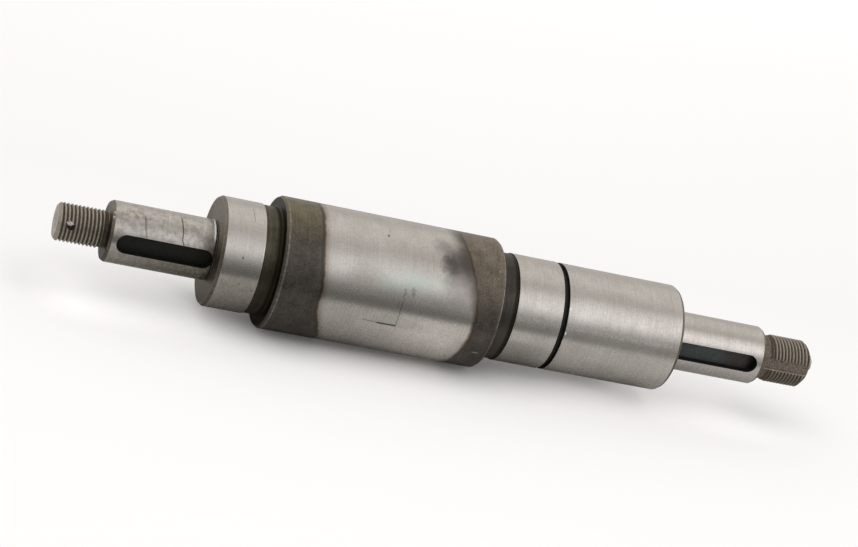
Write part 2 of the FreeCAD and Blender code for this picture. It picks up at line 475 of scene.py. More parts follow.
def right_end_burr(shell):
    """Lip of the last thread, torn up at the right end, pale as bare metal and with a painted glint."""
    first_turn, turns, width, height = 9, 38, 0.7, 1.3
    places = []
    ways_out = []
    ways_along = []
    for step in range(BURR_STEPS):
        along, _, out = facing(first_turn + turns * step / (BURR_STEPS - 1))
        places.append(along * (right_end - 0.75) + out * (11.5 + 0.3 * math.sin(1.7 * step)))
        ways_out.append(out * height)
        ways_along.append(along * width)
    add_burr(shell, places, ways_out, ways_along, END_FACE_AND_GLINT)


burrs = Shell()
pin_hole_burr(burrs)
right_end_burr(burrs)

cutters = Shell()
cut_keyway(cutters, seat_left_start + keyway_end_land)
cut_keyway(cutters, thread_right_start - keyway_end_land - keyway_length)
cut_washer_slot(cutters)
cut_pin_hole(cutters)


class Graph:
    """Shader nodes of one material or world, added by short calls."""

    def __init__(self, tree):
        self.tree = tree
        tree.nodes.clear()

    def node(self, kind, inputs=None, **settings):
        """New shader node, with inputs by name or number."""
        made = self.tree.nodes.new("ShaderNode" + kind)
        for name, value in settings.items():
            setattr(made, name, value)
        for name, value in (inputs or {}).items():
            self.feed(made.inputs[name], value)
        return made

    def feed(self, socket, value):
        if isinstance(value, bpy.types.NodeSocket):
            self.tree.links.new(value, socket)
        else:
            socket.default_value = value

    def math(self, operation, *values, clamp=False):
        inputs = dict(enumerate(values))
        return self.node("Math", inputs, operation=operation, use_clamp=clamp).outputs[0]

    def vector(self, operation, *values, output="Vector"):
        return self.node("VectorMath", dict(enumerate(values)), operation=operation).outputs[output]

    def times(self, first, second):
        return self.math("MULTIPLY", first, second)

    def scaled(self, vector, factors):
        return self.vector("MULTIPLY", vector, factors)

    def parts(self, vector):
        return self.node("SeparateXYZ", {"Vector": vector}).outputs

    def noise(self, vector, scale, detail=3.0, roughness=0.55, output="Fac"):
        inputs = {"Vector": vector, "Scale": scale, "Detail": detail, "Roughness": roughness}
        return self.node("TexNoise", inputs).outputs[output]

    def between(self, value, low, high, low_result=0.0, high_result=1.0, smooth=True):
        """Rises from one result to the other as a value goes from low to high."""
        ends = {"From Min": low, "From Max": high, "To Min": low_result, "To Max": high_result}
        kind = "SMOOTHSTEP" if smooth else "LINEAR"
        made = self.node("MapRange", {"Value": value, **ends}, clamp=True, interpolation_type=kind)
        return made.outputs["Result"]

    def window(self, value, low, high, soft):
        """One between low and high, and zero outside, over a soft border."""
        rise = self.between(value, low - soft, low + soft)
        fall = self.between(value, high - soft, high + soft, 1.0, 0.0)
        return self.times(rise, fall)

    def spot(self, surface, radius, place, half_length, half_width, soft=0.5):
        """One inside an ellipse on the unrolled surface, and zero outside it."""
        station, turn = place
        offset = self.vector("SUBTRACT", surface, (station, math.radians(turn) * radius, 0))
        shares = self.scaled(offset, (1 / half_length, 1 / half_width, 0))
        reach = self.vector("LENGTH", shares, output="Value")
        return self.between(reach, 1.0 - soft, 1.0, 1.0, 0.0)

    def spots(self, surface, radius, rows):
        """Several spots, in rows of place, half length, half width and softness."""
        return self.most([self.spot(surface, radius, *row) for row in rows])

    def stroke(self, surface, radius, places, half_width):
        """One along a thin line through places on the unrolled surface."""
        points = [Vector((station, math.radians(turn) * radius, 0)) for station, turn in places]
        masks = []
        for start, finish in zip(points, points[1:]):
            run = finish - start
            offset = self.vector("SUBTRACT", surface, start)
            travel = self.vector("DOT_PRODUCT", offset, run, output="Value")
            share = self.math("DIVIDE", travel, run.length_squared, clamp=True)
            nearest = self.node("VectorMath", {"Vector": run, "Scale": share}, operation="SCALE")
            gap = self.vector("DISTANCE", offset, nearest.outputs["Vector"], output="Value")
            masks.append(self.between(gap, 0.4 * half_width, 1.4 * half_width, 1.0, 0.0))
        return self.most(masks)

    def most(self, masks):
        """Highest of several masks."""
        top = masks[0]
        for mask in masks[1:]:
            top = self.math("MAXIMUM", top, mask)
        return top

    def mix(self, factor, first, second):
        """Mix of two colours, whose sockets have these numbers in the mix node."""
        return self.node("Mix", {"Factor": factor, 6: first, 7: second}, data_type="RGBA").outputs[2]

    def ramp(self, factor, stops):
        """Colour along a factor from stops of (place, colour)."""
        made = self.node("ValToRGB", {"Fac": factor})
        band = made.color_ramp
        while len(band.elements) < len(stops):
            band.elements.new(0.5)
        for element, (place, colour) in zip(band.elements, stops):
            element.position = place
            element.color = colour
        return made.outputs["Color"]

    def tones(self, factor, dark, light, low=0.3, high=0.7):
        """From a dark colour to a light one."""
        return self.ramp(factor, [(low, rgb(*dark)), (high, rgb(*light))])

    def blend(self, factor, first, second):
        return self.node("Mix", {"Factor": factor, "A": first, "B": second}).outputs[0]

    def looked_at(self):
        """One for rays that end in the camera, in a mirror or behind glass."""
        path = self.node("LightPath").outputs
        return self.most([path["Is Camera Ray"], path["Is Glossy Ray"], path["Is Transmission Ray"]])


def rgb(red, green, blue):
    return (red, green, blue, 1.0)


class Fields:
    """Where a point is on the shaft, for the materials."""

    def __init__(self, graph):
        place = graph.node("TexCoord").outputs["Object"]
        self.place = graph.scaled(place, (1 / MM, 1 / MM, 1 / MM))
        parts = graph.parts(self.place)
        self.station = parts[0]
        self.height = parts[2]
        out = graph.times(parts[1], -1.0)
        square = graph.times(parts[1], parts[1])
        self.radius = graph.math("SQRT", graph.math("MULTIPLY_ADD", parts[2], parts[2], square))
        # Turned up from the level of the axis, the same in front and behind
        rise = graph.math("DIVIDE", parts[2], self.radius)
        self.turn = graph.math("DEGREES", graph.math("ARCSINE", rise))
        # Stretched round the shaft, so that noise on it makes turning and grinding lines
        self.lathe = graph.scaled(self.place, (1.0, 0.04, 0.04))
        # Unrolled surface in millimetres, along the shaft and round it, and the same with torn edges
        arc = graph.times(graph.math("ARCTAN2", parts[2], out), self.radius)
        self.unrolled = graph.node("CombineXYZ", {"X": self.station, "Y": arc}).outputs[0]
        tear = graph.noise(self.place, 0.3, 5.0, 0.65, "Color")
        shift = graph.scaled(graph.vector("SUBTRACT", tear, (0.5, 0.5, 0.5)), (9.0, 9.0, 0.0))
        self.ragged = graph.vector("ADD", self.unrolled, shift)


def new_material(name):
    material = bpy.data.materials.new(name)
    material.use_nodes = True
    return material, Graph(material.node_tree)


def shaft_material(name):
    """Empty material with its graph and the fields of the shaft."""
    material, graph = new_material(name)
    return material, graph, Fields(graph)


def shade(graph, base, metallic, roughness, height, bump, lift=0.00002, anisotropic=0.0):
    """Principled shader from colour, metal share, roughness and relief."""
    relief = graph.node("Bump", {"Height": height, "Strength": bump, "Distance": lift})
    shader = graph.node("BsdfPrincipled", {
        "Base Color": base,
        "Metallic": metallic,
        "Roughness": roughness,
        "Normal": relief.outputs["Normal"],
    })
    if anisotropic:
        shader.inputs["Anisotropic"].default_value = anisotropic
        shader.inputs["Anisotropic Rotation"].default_value = 0.25
        tangent = graph.node("Tangent", direction_type="RADIAL", axis="X")
        graph.feed(shader.inputs["Tangent"], tangent.outputs["Tangent"])
    graph.node("OutputMaterial", {"Surface": shader.outputs["BSDF"]})


STEEL_LIGHT = rgb(0.68, 0.655, 0.63)
STEEL_DARK = rgb(0.47, 0.445, 0.415)
PALE_NICK_AND_GLINT = rgb(0.85, 0.83, 0.80)
DARK_STAIN_AND_SHADE = rgb(0.10, 0.08, 0.06)
BROWN_STAIN = rgb(0.36, 0.29, 0.22)
PATINA_AND_SHADE = rgb(0.19, 0.172, 0.125)
DULL_STEEL = rgb(0.30, 0.275, 0.245)

# Marks and painted glints on the ground sections: paths and places are (station, turn), sizes along and
# round
seat_hairline = [(-149.6, 76), (-148.6, 50), (-148.3, 27), (-147.3, 20)]
seat_scratch = [(-168.6, 62), (-168, 40), (-166.7, 22)]
collar_scratch = [(-115.2, 78), (-114.6, 60)]
seat_dark_patches = [((-134.5, 25), 7.0, 8.0, 0.9), ((-139, 14), 2.5, 2.0, 0.7)]
collar_specks = [((-118.9, 18.7), 0.7, 0.9), ((-110.4, -14.3), 0.6, 0.8), ((-117.6, -8.8), 0.5, 0.6)]
seat_ring_patch = ((-171.5, 60), 15.0, 5.0, 0.8)
journal_glints = [((59.9, 31), 0.5, 0.9), ((59.9, 5), 0.4, 1.2)]
seat_face_nicks = [((-183.9, 57), 0.8, 1.0), ((-184.4, 46.7), 0.8, 0.8)]


def ground_base(graph, fields):
    """Colour, roughness and relief of ground steel."""
    lines = graph.noise(fields.lathe, 1.6, 4.0, 0.7)
    cloud = graph.noise(fields.place, 0.09, 4.0, 0.6)
    speckle = graph.noise(fields.place, 1.1, 3.0, 0.6)
    fleck = graph.math("MULTIPLY_ADD", speckle, 0.6, graph.times(cloud, 0.45))
    share = graph.math("MULTIPLY_ADD", lines, 0.35, graph.times(fleck, 0.65))
    base = graph.ramp(share, [(0.35, STEEL_DARK), (0.62, STEEL_LIGHT)])
    roughness = graph.between(share, 0.35, 0.65, 0.33, 0.25)
    return base, roughness, lines


def patina_and_shade_share(graph, fields):
    """Olive film low on the collar and the left seat, partly painted shade: darker on the underside and
    thicker towards the collar, which shades the seat.
    """
    below = graph.between(fields.turn, -12.0, 8.0, 1.0, 0.0)
    on_left = graph.math("LESS_THAN", fields.station, neck_left_start)
    along = graph.between(fields.station, seat_left_start, collar_start - 8, 0.35, 0.9)
    on_collar = graph.math("GREATER_THAN", fields.station, collar_start)
    along = graph.math("MULTIPLY_ADD", on_collar, -0.35, along)
    blotches = graph.between(graph.noise(fields.place, 0.55, 4.0, 0.7), 0.38, 0.62, 0.6, 1.0)
    share = graph.times(graph.times(below, on_left), along)
    return graph.times(share, blotches)


def ground_material():
    """Ground seats, collar and journal, with the few stains and scratches on them, painted glints and a
    painted highlight line, and an olive film with painted shade low down.
    """
    material, graph, fields = shaft_material("ground_steel")
    base, roughness, lines = ground_base(graph, fields)
    hairline = graph.stroke(fields.unrolled, seat_radius, seat_hairline, 0.32)
    scratch = graph.stroke(fields.unrolled, seat_radius, seat_scratch, 0.5)
    fine_scratch = graph.stroke(fields.unrolled, journal_radius, collar_scratch, 0.2)
    # Darker patches on the left seat beside the collar, and small dark specks on the collar
    dark_patches = graph.most([
        graph.spots(fields.ragged, seat_radius, seat_dark_patches),
        graph.spots(fields.unrolled, journal_radius, collar_specks),
    ])
    dark = graph.most([
        graph.times(hairline, 0.95),
        graph.times(scratch, 0.5),
        graph.times(fine_scratch, 0.6),
        graph.times(dark_patches, 0.7),
    ])
    rings = graph.noise(fields.place, 0.22, 2.0, 0.5)
    loops = graph.window(rings, 0.47, 0.53, 0.02)
    patch = graph.spot(fields.unrolled, seat_radius, *seat_ring_patch)
    brown = graph.times(loops, patch)
    # Painted glints at the journal's groove, and a painted highlight line on the upper side of the seat
    # beside the collar
    nicks_and_glints = graph.spots(fields.unrolled, journal_radius, journal_glints)
    seat_arc_highlight = graph.window(fields.station, collar_start - 2.0, collar_start - 0.9, 0.15)
    seat_arc_highlight = graph.times(seat_arc_highlight, graph.between(fields.turn, 28.0, 50.0))
    nicks_and_glints = graph.most([nicks_and_glints, graph.times(seat_arc_highlight, 0.9)])
    on_seat = graph.math("LESS_THAN", fields.station, collar_start)
    dulled = graph.between(graph.noise(fields.place, 0.28, 4.0, 0.65), 0.42, 0.62, 0.0, 0.5)
    base = graph.mix(graph.times(on_seat, dulled), base, DULL_STEEL)
    stained = graph.mix(graph.times(brown, 0.8), base, BROWN_STAIN)
    stained = graph.mix(patina_and_shade_share(graph, fields), stained, PATINA_AND_SHADE)
    darker = graph.mix(dark, stained, DARK_STAIN_AND_SHADE)
    final = graph.mix(nicks_and_glints, darker, PALE_NICK_AND_GLINT)
    metal = graph.between(nicks_and_glints, 0.0, 1.0, 1.0, 0.1)
    shade(graph, final, metal, roughness, lines, bump=0.25, anisotropic=0.5)
    return material


def band_edges(graph, fields):
    """Stations where the dark bands of the drum end, which lean as they go round."""
    lean_low = graph.between(fields.turn, -58.0, -5.0, 8.0, 0.0)
    lean_high = graph.between(fields.turn, 0.0, 50.0, 2.8, 0.0)
    left = graph.math("ADD", graph.math("ADD", lean_low, lean_high), left_band_edge)
    bend_low = graph.between(fields.turn, -90.0, 0.0, -5.5, 0.0)
    bend_high = graph.between(fields.turn, 0.0, 90.0, 0.0, -9.5)
    bend = graph.math("ADD", bend_low, bend_high)
    right = graph.math("ADD", bend, right_band_edge)
    return left, right


left_band_edge = -79.9
right_band_edge = 7.5
mint_patches = [((-28, 27), 15, 10, 0.9), ((-42, 22), 9, 7, 0.9), ((-12, 30), 8, 6, 0.9)]
green_streaks = [((-33, 15), 1.3, 4.0, 0.7), ((-34.8, 4), 1.1, 2.5, 0.7), ((-28.7, 17), 1.3, 3.0, 0.7)]
cloud_patches = [((-7, 51), 12, 15, 0.7), ((-13, 64), 10, 10, 0.9), ((-4, 32), 15, 14, 0.9)]
cloud_cores = [((-8.5, 48), 9.5, 14.0, 0.9), ((-2.5, 52), 10.0, 15.0, 0.85)]
dull_patch = ((-55, 25), 16, 9, 0.9)
drum_speck = ((-44.5, 65), 0.9, 1.2)
drum_dents = [((14.0, -29), 2.6, 0.8), ((17.2, 50.3), 0.6, 1.0), ((16.2, 43.3), 0.5, 0.8)]
marker_line = [(-43, -15.3), (-33.3, -15.3)]
marker_tail = [(-51, -14.6), (-43, -15.3)]
marker_riser = [(-33.3, -15.3), (-33.2, 8)]
MINT = rgb(0.50, 0.585, 0.53)
GREEN_STREAK = rgb(0.24, 0.29, 0.25)
TINT = rgb(0.26, 0.20, 0.15)
TINT_HEAVY = rgb(0.115, 0.095, 0.085)
CLOUD = rgb(0.33, 0.305, 0.30)
CLOUD_CORE = rgb(0.13, 0.118, 0.115)
MARKER = rgb(0.04, 0.085, 0.055)
BAND_BORDER = rgb(0.045, 0.034, 0.025)


def drum_material():
    """Ground steel with a dark oxide band at each end and heat tint beside it."""
    material, graph, fields = shaft_material("drum_steel")
    base, roughness, lines = ground_base(graph, fields)

    mint = graph.spots(fields.ragged, drum_radius, mint_patches)
    green = graph.spots(fields.ragged, drum_radius, green_streaks)
    cloud = graph.spots(fields.ragged, drum_radius, cloud_patches)
    core = graph.spots(fields.ragged, drum_radius, cloud_cores)
    dull = graph.spot(fields.ragged, drum_radius, *dull_patch)
    speck = graph.spot(fields.unrolled, drum_radius, *drum_speck)
    marker = graph.most([
        graph.stroke(fields.unrolled, drum_radius, marker_line, 0.55),
        graph.times(graph.stroke(fields.unrolled, drum_radius, marker_tail, 0.35), 0.5),
        graph.times(graph.stroke(fields.unrolled, drum_radius, marker_riser, 0.45), 0.45),
    ])
    scratches = graph.between(graph.noise(fields.lathe, 2.2, 4.0, 0.75), 0.42, 0.58, 0.45, 0.9)
    steel = graph.mix(graph.times(mint, scratches), base, MINT)
    steel = graph.mix(graph.times(dull, 0.45), steel, DULL_STEEL)
    steel = graph.mix(graph.times(green, 0.65), steel, GREEN_STREAK)
    steel = graph.mix(graph.times(cloud, 0.85), steel, CLOUD)
    steel = graph.mix(graph.times(core, 0.92), steel, CLOUD_CORE)
    steel = graph.mix(graph.times(marker, 0.9), steel, MARKER)
    steel = graph.mix(graph.times(speck, 0.7), steel, DARK_STAIN_AND_SHADE)

    wobble = graph.math("MULTIPLY_ADD", graph.noise(fields.place, 0.25, 3.0), 1.6, -0.8)
    station = graph.math("ADD", fields.station, wobble)
    left_edge, right_edge = band_edges(graph, fields)
    past_left = graph.math("SUBTRACT", station, left_edge)
    past_right = graph.math("SUBTRACT", right_edge, station)
    left_band = graph.between(past_left, -0.4, 0.4, 1.0, 0.0)
    right_band = graph.between(past_right, -0.4, 0.4, 1.0, 0.0)
    band = graph.most([left_band, right_band])
    tint_left = graph.between(past_left, 0.0, 5.0, 0.75, 0.0)
    heavy = graph.between(fields.turn, 0.0, 30.0)
    tint_reach = graph.math("MULTIPLY_ADD", heavy, 7.0, 2.5)
    tint_right = graph.between(past_right, 0.0, tint_reach, 0.95, 0.0)
    tint = graph.most([tint_left, tint_right])
    border_left = graph.window(past_left, -0.6, 1.1, 0.6)
    border_right = graph.window(past_right, -0.6, 0.7, 0.5)
    border = graph.most([border_left, graph.times(border_right, 0.6)])
    heavy_right = graph.times(heavy, graph.math("GREATER_THAN", fields.station, -40.0))
    tinted = graph.mix(tint, steel, graph.mix(heavy_right, TINT, TINT_HEAVY))

    streaks = graph.noise(fields.lathe, 0.9, 4.0, 0.7)
    patches = graph.noise(fields.place, 0.16, 3.0, 0.6)
    fine = graph.noise(fields.place, 1.1, 3.0, 0.6)
    share = graph.math("MULTIPLY_ADD", streaks, 0.25, graph.times(patches, 0.3))
    share = graph.math("MULTIPLY_ADD", fine, 0.45, share)
    pale_from = graph.between(fields.station, -40.0, 0.0, 35.0, -10.0)
    upper = graph.between(fields.turn, pale_from, 85.0)
    olive = graph.tones(share, (0.10, 0.087, 0.050), (0.20, 0.176, 0.112), 0.4, 0.6)
    lower = graph.tones(share, (0.042, 0.035, 0.029), (0.094, 0.081, 0.069), 0.4, 0.6)
    mauve = graph.tones(share, (0.11, 0.090, 0.064), (0.235, 0.193, 0.15), 0.4, 0.6)
    upper_oxide = graph.mix(graph.between(fields.station, -40.0, 0.0), olive, mauve)
    oxide = graph.mix(upper, lower, upper_oxide)
    worn_rim = graph.most([
        graph.window(fields.station, drum_start + 1.2, drum_start + 2.0, 0.3),
        graph.window(fields.station, neck_right_start - 0.9, neck_right_start + 0.1, 0.2),
    ])
    wear = graph.between(graph.noise(fields.place, 0.5, 3.0), 0.4, 0.6, 0.1, 0.35)
    oxide = graph.mix(graph.times(worn_rim, wear), oxide, STEEL_DARK)
    banded = graph.mix(band, tinted, oxide)
    bordered = graph.mix(graph.times(border, 0.8), banded, BAND_BORDER)
    dents = graph.spots(fields.unrolled, drum_radius, drum_dents)
    final = graph.mix(graph.times(dents, 0.35), bordered, STEEL_DARK)
    rough = graph.between(band, 0.0, 1.0, roughness, 0.42)
    metal = graph.between(band, 0.0, 1.0, 1.0, 0.6)
    shade(graph, final, metal, rough, lines, bump=0.25, anisotropic=0.4)
    return material


def scale_material():
    """Dark oxide left on the necks, darker low on the left neck and lighter low on the right one, with
    painted shade in the corners beside the drum and the journal.
    """
    material, graph, fields = shaft_material("dark_scale")
    streaks = graph.noise(fields.lathe, 0.8, 4.0, 0.7)
    cloud = graph.noise(fields.place, 0.2, 3.0, 0.6)
    share = graph.math("MULTIPLY_ADD", streaks, 0.6, graph.times(cloud, 0.4))
    left = graph.tones(share, (0.05, 0.046, 0.030), (0.13, 0.12, 0.088), 0.35, 0.65)
    right = graph.tones(share, (0.038, 0.034, 0.030), (0.085, 0.077, 0.070), 0.35, 0.65)
    on_right = graph.math("GREATER_THAN", fields.station, 0.0)
    low_left = graph.between(fields.turn, -20.0, 70.0, 0.55, 0.0)
    low_right = graph.between(fields.turn, -50.0, 20.0, 0.8, 0.0)
    left = graph.mix(low_left, left, rgb(0.016, 0.017, 0.010))
    right = graph.mix(low_right, right, rgb(0.13, 0.107, 0.095))
    base = graph.mix(on_right, left, right)
    # Painted shade in the corners where the necks meet the drum and the journal
    corner_shade = graph.most([
        graph.window(fields.station, drum_start - 2.5, drum_start + 2.0, 1.2),
        graph.window(fields.station, journal_start - 2.2, journal_start + 1.0, 0.6),
        graph.window(fields.station, neck_right_start - 1.0, neck_right_start + 1.0, 0.6),
    ])
    final = graph.mix(graph.times(corner_shade, 0.9), base, rgb(0.022, 0.018, 0.010))
    shade(graph, final, 0.9, 0.42, streaks, bump=0.3, lift=0.00004)
    return material


def shoulder_material():
    """Turned faces and chamfers, darker than the ground sections, with painted light on their upper side,
    a painted highlight ring on the collar face and painted shade low on the left seat face.
    """
    material, graph, fields = shaft_material("turned_faces")
    rings = graph.noise(graph.scaled(fields.place, (0.3, 0.3, 0.3)), 3.0, 3.0, 0.6)
    cloud = graph.noise(fields.place, 0.5, 6.0, 0.78)
    base = graph.tones(cloud, (0.090, 0.076, 0.053), (0.22, 0.19, 0.148), 0.35, 0.67)
    # Painted light: the upper side of the faces lighter
    lit_upper = graph.tones(cloud, (0.16, 0.14, 0.11), (0.32, 0.285, 0.24), 0.34, 0.68)
    base = graph.mix(graph.between(fields.turn, 15.0, 65.0), base, lit_upper)
    # Painted highlight on a thin ring at the inner edge of the collar's chamfer
    ring_edge = journal_radius - rim_depth
    collar_ring_highlight = graph.times(
        graph.window(fields.radius, ring_edge - 0.35, ring_edge, 0.15),
        graph.math("LESS_THAN", fields.station, collar_start + 0.2),
    )
    nicks_and_glints = graph.spots(fields.unrolled, seat_radius, seat_face_nicks)
    ringed = graph.mix(graph.times(collar_ring_highlight, 0.6), base, STEEL_DARK)
    # Painted shade on the left seat's face below its upper part, beside the thread
    seat_face_shade = graph.times(
        graph.math("LESS_THAN", fields.station, seat_left_start + 0.2),
        graph.between(fields.turn, 30.0, 75.0, 0.85, 0.0),
    )
    shaded = graph.mix(seat_face_shade, ringed, rgb(0.03, 0.026, 0.020))
    final = graph.mix(graph.times(nicks_and_glints, 0.5), shaded, PALE_NICK_AND_GLINT)
    shade(graph, final, 0.9, 0.42, rings, bump=0.3, lift=0.00004)
    return material


def thread_material():
    """Thread with light crests, painted shade in its roots, crests darker towards the bottom of the right
    thread, and painted shade beside the torn end.
    """
    material, graph, fields = shaft_material("thread_steel")
    left = graph.between(fields.radius, 9.1, 9.95)
    right = graph.between(fields.radius, 12.1, 12.95)
    on_right = graph.math("GREATER_THAN", fields.station, 0.0)
    bevel = graph.math("LESS_THAN", fields.station, left_end + thread_left_chamfer)
    left = graph.most([left, graph.times(bevel, 0.85)])
    height = graph.blend(on_right, left, right)
    speckle = graph.noise(fields.place, 1.2, 3.0, 0.6)
    crest = graph.tones(speckle, (0.36, 0.32, 0.27), (0.56, 0.52, 0.46))
    root = graph.tones(speckle, (0.06, 0.047, 0.034), (0.15, 0.125, 0.095))
    # Crests of the right thread darker towards the bottom
    below = graph.between(fields.turn, -25.0, 5.0, 0.5, 0.0)
    darker_below = graph.times(on_right, below)
    crest = graph.mix(darker_below, crest, rgb(0.10, 0.08, 0.06))
    crest = graph.mix(graph.times(on_right, 0.22), crest, rgb(0.16, 0.13, 0.10))
    # Painted shade in the gap between the last crest and the burr at the right end
    burr_gap_shade = graph.times(
        graph.window(fields.station, right_end - 2.6, right_end - 1.6, 0.3),
        graph.window(fields.turn, 12.0, 50.0, 4.0),
    )
    crest = graph.mix(graph.times(burr_gap_shade, 0.8), crest, DARK_STAIN_AND_SHADE)
    # Painted shade in the roots, which are darker than the crests
    base = graph.mix(height, root, crest)
    rough = graph.between(height, 0.0, 1.0, 0.6, 0.38)
    shade(graph, base, 0.9, rough, speckle, bump=0.3, lift=0.00005)
    return material


def keyway_material():
    """Blackened bottoms of the keyways and grooves, bluish and brown in the right keyway, with painted
    shade along its lower wall.
    """
    material, graph, fields = shaft_material("blackened_cut")
    speckle = graph.noise(fields.place, 0.6, 3.0, 0.6)
    black = graph.tones(speckle, (0.003, 0.003, 0.0025), (0.009, 0.010, 0.007))
    blue = graph.tones(speckle, (0.035, 0.046, 0.046), (0.06, 0.078, 0.078))
    brown = graph.tones(speckle, (0.030, 0.023, 0.021), (0.05, 0.040, 0.036))
    floor_share = graph.window(fields.station, *right_keyway_floor, 2.0)
    floor_colour = graph.mix(graph.between(fields.station, *blue_to_brown), blue, brown)
    # Painted shade along the lower wall of the right keyway's floor
    lower_wall = -keyway_half_width
    shaded = graph.between(fields.height, lower_wall + 0.1, lower_wall + 0.8, 1.0, 0.0)
    floor_colour = graph.mix(shaded, floor_colour, black)
    base = graph.mix(floor_share, black, floor_colour)
    shade(graph, base, 0.2, 0.5, speckle, bump=0.2, lift=0.00004)
    return material


# Stations of the tinted floor in the right keyway, and of its change from blue to brown
right_keyway_floor = (131.0, 174.0)
blue_to_brown = (155.0, 165.0)


def cut_material(name, dark, light, scale, metallic):
    """Rough cut steel in one colour with small darker spots."""
    material, graph, fields = shaft_material(name)
    speckle = graph.noise(fields.place, scale, 4.0, 0.65)
    base = graph.tones(speckle, dark, light, 0.35, 0.6)
    shade(graph, base, metallic, 0.5, speckle, bump=0.3, lift=0.00005)
    return material


materials = [
    ground_material(),
    drum_material(),
    scale_material(),
    shoulder_material(),
    thread_material(),
    keyway_material(),
    # Pale end faces, and the painted glint on the burrs and on the slot's lower wall
    cut_material("turned_end_and_glints", (0.27, 0.23, 0.19), (0.55, 0.51, 0.46), 0.6, 0.25),
    cut_material("undercut", (0.085, 0.065, 0.048), (0.20, 0.165, 0.13), 0.8, 0.7),
    cut_material("slot_steel", (0.09, 0.072, 0.055), (0.26, 0.22, 0.18), 0.9, 0.5),
]


def put(name, data):
    """New object in the scene."""
    made = bpy.data.objects.new(name, data)
    bpy.context.scene.collection.objects.link(made)
    return made


def solid(name, shell):
    """Object in metres from points in millimetres, with the shaft's materials."""
    mesh = bpy.data.meshes.new(name)
    points = [tuple(part * MM for part in point) for point in shell.points]
    mesh.from_pydata(points, [], shell.faces)
    for material in materials:
        mesh.materials.append(material)
    mesh.polygons.foreach_set("material_index", shell.materials)
    mesh.update()
    return put(name, mesh)


def join_solids(body, tool, operation):
    """Takes the tool's solids out of the body, or adds them to it."""
    cut = body.modifiers.new("cut", "BOOLEAN")
    cut.operation = operation
    cut.solver = "EXACT"
    cut.material_mode = "INDEX"
    cut.object = tool
    bpy.context.view_layer.update()
    depsgraph = bpy.context.evaluated_depsgraph_get()
    carved = bpy.data.meshes.new_from_object(body.evaluated_get(depsgraph))
    body.modifiers.clear()
    body.data = carved
    bpy.data.objects.remove(tool)


shaft = solid("pump_shaft_finished", skin)
join_solids(shaft, solid("cutters", cutters), "DIFFERENCE")
join_solids(shaft, solid("burrs", burrs), "UNION")
shaft.data.shade_smooth()
shaft.data.set_sharp_from_angle(angle=math.radians(SHARP_ANGLE))

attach(shaft, "root")
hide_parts("pump_shaft")

# Floor under the drum, white to the camera with the shaft's shadow kept
floor_height = cad_low.z
floor_size = 6.0
floor_mesh = bpy.data.meshes.new("floor")
half = floor_size / 2
floor_corners = [(-half, -half, 0), (half, -half, 0), (half, half, 0), (-half, half, 0)]
floor_mesh.from_pydata(floor_corners, [], [(0, 1, 2, 3)])
floor = put("floor", floor_mesh)
floor.location.z = floor_height


def floor_material():
    """Pale paper that keeps the shaft's shadow, fainter under the thin ends as in the photo."""
    material, graph = new_material("pale_floor")
    paper = graph.node("BsdfDiffuse", {"Color": rgb(0.905, 0.889, 0.881)})
    x, y, _ = graph.parts(graph.node("TexCoord").outputs["Object"])
    left = graph.times(graph.between(x, -0.225, -0.19), graph.between(x, -0.14, -0.08, 1.0, 0.0))
    right = graph.times(graph.between(x, 0.0, 0.10), graph.between(x, 0.16, 0.23, 1.0, 0.0))
    # Under the thick sections the glow stops sooner, so that their shadow stays
    thick = graph.window(x, -0.128, 0.112, 0.03)
    fades_from = graph.between(thick, 0.0, 1.0, 0.0, -0.012)
    fades_to = graph.between(thick, 0.0, 1.0, 0.045, 0.012)
    behind = graph.between(y, fades_from, fades_to, 1.0, 0.0)
    across = graph.times(graph.between(y, -0.051, 0.0), behind)
    under_ends = graph.times(graph.math("ADD", left, right), across)
    behind_shaft = graph.between(y, 0.2, 1.3, floor_glow, floor_glow + back_glow, smooth=False)
    level = graph.math("MULTIPLY_ADD", under_ends, end_glow, behind_shaft)
    glow = graph.node("Emission", {
        "Color": rgb(1.0, 0.982, 0.974),
        "Strength": graph.times(graph.looked_at(), level),
    })
    lit = graph.node("AddShader", {0: paper.outputs[0], 1: glow.outputs[0]})
    graph.node("OutputMaterial", {"Surface": lit.outputs[0]})
    return material


# Strengths of the floor's own glow: everywhere, more under the thin ends, more far behind
floor_glow = 0.04
end_glow = 0.28
back_glow = 0.33
floor_mesh.materials.append(floor_material())


def card(name, profile, shades):
    """Studio card along the whole shaft that only the metal mirrors.

    The profile is in points of (y, z), and the shades in pairs of station and grey level.
    """
    points = [(x, y, z) for y, z in profile for x in (-half, half)]
    faces = [(2 * index, 2 * index + 1, 2 * index + 3, 2 * index + 2) for index in range(len(profile) - 1)]
    mesh = bpy.data.meshes.new(name)
    mesh.from_pydata(points, [], faces)
    material, graph = new_material(name)
    along = graph.parts(graph.node("TexCoord").outputs["Object"])[0]
    share = graph.between(along, -half, half, smooth=False)
    paint = graph.ramp(share, [
        ((station + half) / floor_size, rgb(level, level * card_green, level * card_blue))
        for station, level in shades
    ])
    matt = graph.node("BsdfDiffuse", {"Color": paint})
    graph.node("OutputMaterial", {"Surface": matt.outputs[0]})
    mesh.materials.append(material)
    made = put(name, mesh)
    made.visible_camera = made.visible_diffuse = made.visible_shadow = False


